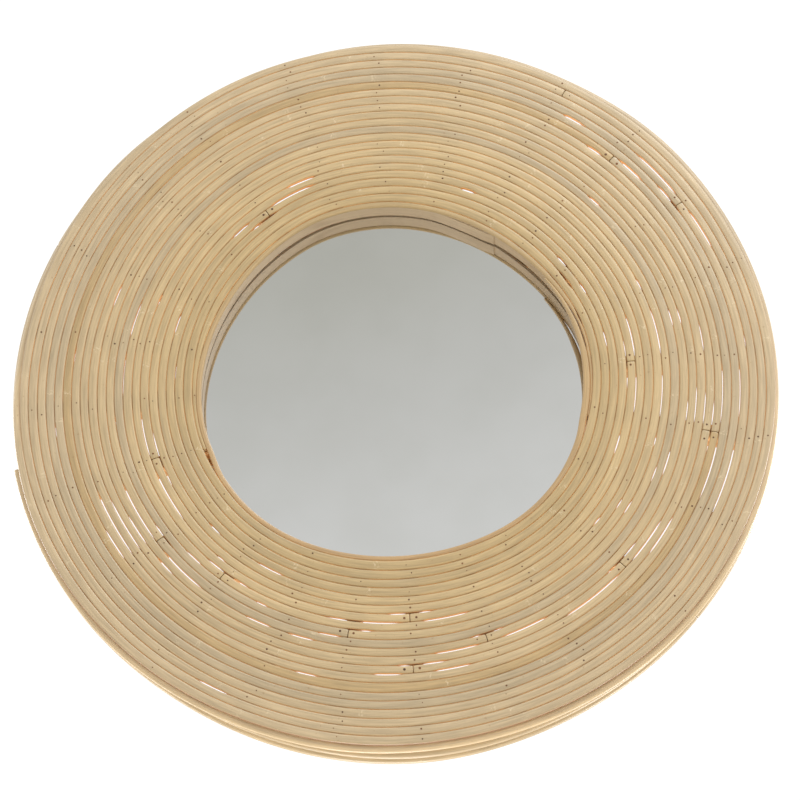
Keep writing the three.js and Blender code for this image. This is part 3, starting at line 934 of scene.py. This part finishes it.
# Light of the room by the angle away from its dimmest part, which is in front and above
DIMMEST = (-0.089, -0.819, 0.566)
ROOM_REACH = 100.0
ROOM_LIGHT = 1.1
ROOM = (
    (5, (0.36, 0.355, 0.315)),
    (9.8, (0.455, 0.455, 0.416)),
    (12, (0.52, 0.522, 0.497)),
    (14.5, (0.605, 0.609, 0.592)),
    (25, (0.76, 0.765, 0.75)),
    (45, (0.88, 0.88, 0.875)),
    (90, (1.0, 1.0, 1.0)),
)

KEY_PLACE = (1.1, -1.45, 1.7)
KEY_SIZE, KEY_POWER = 1.6, 33

# Small lights behind the edge, which draw the pale lines between the rim canes: angle and power
RIM_LIGHTS = ((-5, 11), (45, 7), (95, 9), (140, 4), (185, 11))
RIM_LIGHT_DISTANCE = 1.45
RIM_LIGHT_BEHIND = 0.9
RIM_LIGHT_TARGET = 0.4       # distance of the edge from the middle
RIM_LIGHT_SIZE = 0.6

CAMERA_AZIMUTH = 2.0
CAMERA_ELEVATION = -23.0
CAMERA_DISTANCE = 3.10
LENS = 134.2
SENSOR = 36.0
PIXEL = 1.0402 * MM          # what one covers in the middle of the face
AIM_RIGHT, AIM_DOWN = 6.39, 22.0    # pixels from there to where the camera aims


def make_floor():
    sides = ((-1, -1), (1, -1), (1, 1), (-1, 1))
    corners = np.array([(FLOOR_HALF * x, FLOOR_HALF * y, FLOOR_Z) for x, y in sides])
    floor = new_piece("floor", corners, [[0, 1, 2, 3]], [False], floor_material())


def make_world():
    """White all round, with the dim room in front that the glass reflects."""
    world = bpy.data.worlds.new("studio")
    bpy.context.scene.world = world
    world.use_nodes = True
    tree = world.node_tree
    place = tree.nodes.new("ShaderNodeTexCoord")
    facing = tree.nodes.new("ShaderNodeVectorMath")
    facing.operation = "DOT_PRODUCT"
    facing.inputs[1].default_value = DIMMEST
    tree.links.new(place.outputs["Generated"], facing.inputs[0])
    away = tree.nodes.new("ShaderNodeMath")
    away.operation = "ARCCOSINE"
    tree.links.new(facing.outputs["Value"], away.inputs[0])
    share = tree.nodes.new("ShaderNodeMath")
    share.operation = "DIVIDE"
    share.inputs[1].default_value = math.radians(ROOM_REACH)
    tree.links.new(away.outputs[0], share.inputs[0])
    ramp = tree.nodes.new("ShaderNodeValToRGB")
    while len(ramp.color_ramp.elements) < len(ROOM):
        ramp.color_ramp.elements.new(1.0)
    for element, (degrees, colour) in zip(ramp.color_ramp.elements, ROOM):
        element.position = degrees / ROOM_REACH
        element.color = (*colour, 1)
    tree.links.new(share.outputs[0], ramp.inputs[0])
    background = tree.nodes["Background"]
    tree.links.new(ramp.outputs[0], background.inputs[0])
    background.inputs[1].default_value = ROOM_LIGHT


def add_light(name, place, target, size, power):
    light = bpy.data.lights.new(name, "AREA")
    light.shape = "SQUARE"
    light.size = size
    light.energy = power
    lamp = bpy.data.objects.new(name, light)
    lamp.location = place
    lamp.rotation_euler = (Vector(target) - Vector(place)).to_track_quat("-Z", "Y").to_euler()
    bpy.context.scene.collection.objects.link(lamp)


def make_lights():
    add_light("key", KEY_PLACE, FACE_MIDDLE, KEY_SIZE, KEY_POWER)
    behind = Vector((0, RIM_LIGHT_BEHIND, 0))
    for angle, power in RIM_LIGHTS:
        outwards = Vector((math.cos(math.radians(angle)), 0, -math.sin(math.radians(angle))))
        place = FACE_MIDDLE + RIM_LIGHT_DISTANCE * outwards + behind
        add_light(f"rim_{angle}", place, FACE_MIDDLE + RIM_LIGHT_TARGET * outwards, RIM_LIGHT_SIZE, power)


def make_camera():
    turned, raised = math.radians(CAMERA_AZIMUTH), math.radians(CAMERA_ELEVATION)
    level = Vector((math.sin(turned), -math.cos(turned), 0))
    back = math.cos(raised) * level + Vector((0, 0, math.sin(raised)))
    right = Vector((math.cos(turned), math.sin(turned), 0))
    up = back.cross(right)
    aim = FACE_MIDDLE + PIXEL * (AIM_RIGHT * right - AIM_DOWN * up)
    lens = bpy.data.cameras.new("photo_view")
    lens.lens = LENS
    lens.sensor_width = SENSOR
    camera = bpy.data.objects.new("photo_view", lens)
    camera.location = aim + CAMERA_DISTANCE * back
    camera.rotation_euler = (-back).to_track_quat("-Z", "Y").to_euler()
    bpy.context.scene.collection.objects.link(camera)
    bpy.context.scene.camera = camera


make_camera()
make_canes()
make_edging()
make_rim_canes()
make_hoop()
make_disc(
    "mirror_disc", "mirror_glass", GLASS_RADIUS, GLASS_FRONT, GLASS_THICKNESS, GLASS_CHAMFER,
    MIRROR, "mirror",
)
make_disc(
    "back_plate", "backing_board", BOARD_RADIUS, BOARD_FRONT, BOARD_THICKNESS, BOARD_CHAMFER,
    BOARD, "board",
)
make_nails()
dress_solids()
make_floor()
make_world()
make_lights()
bpy.context.scene.view_settings.view_transform = "Standard"
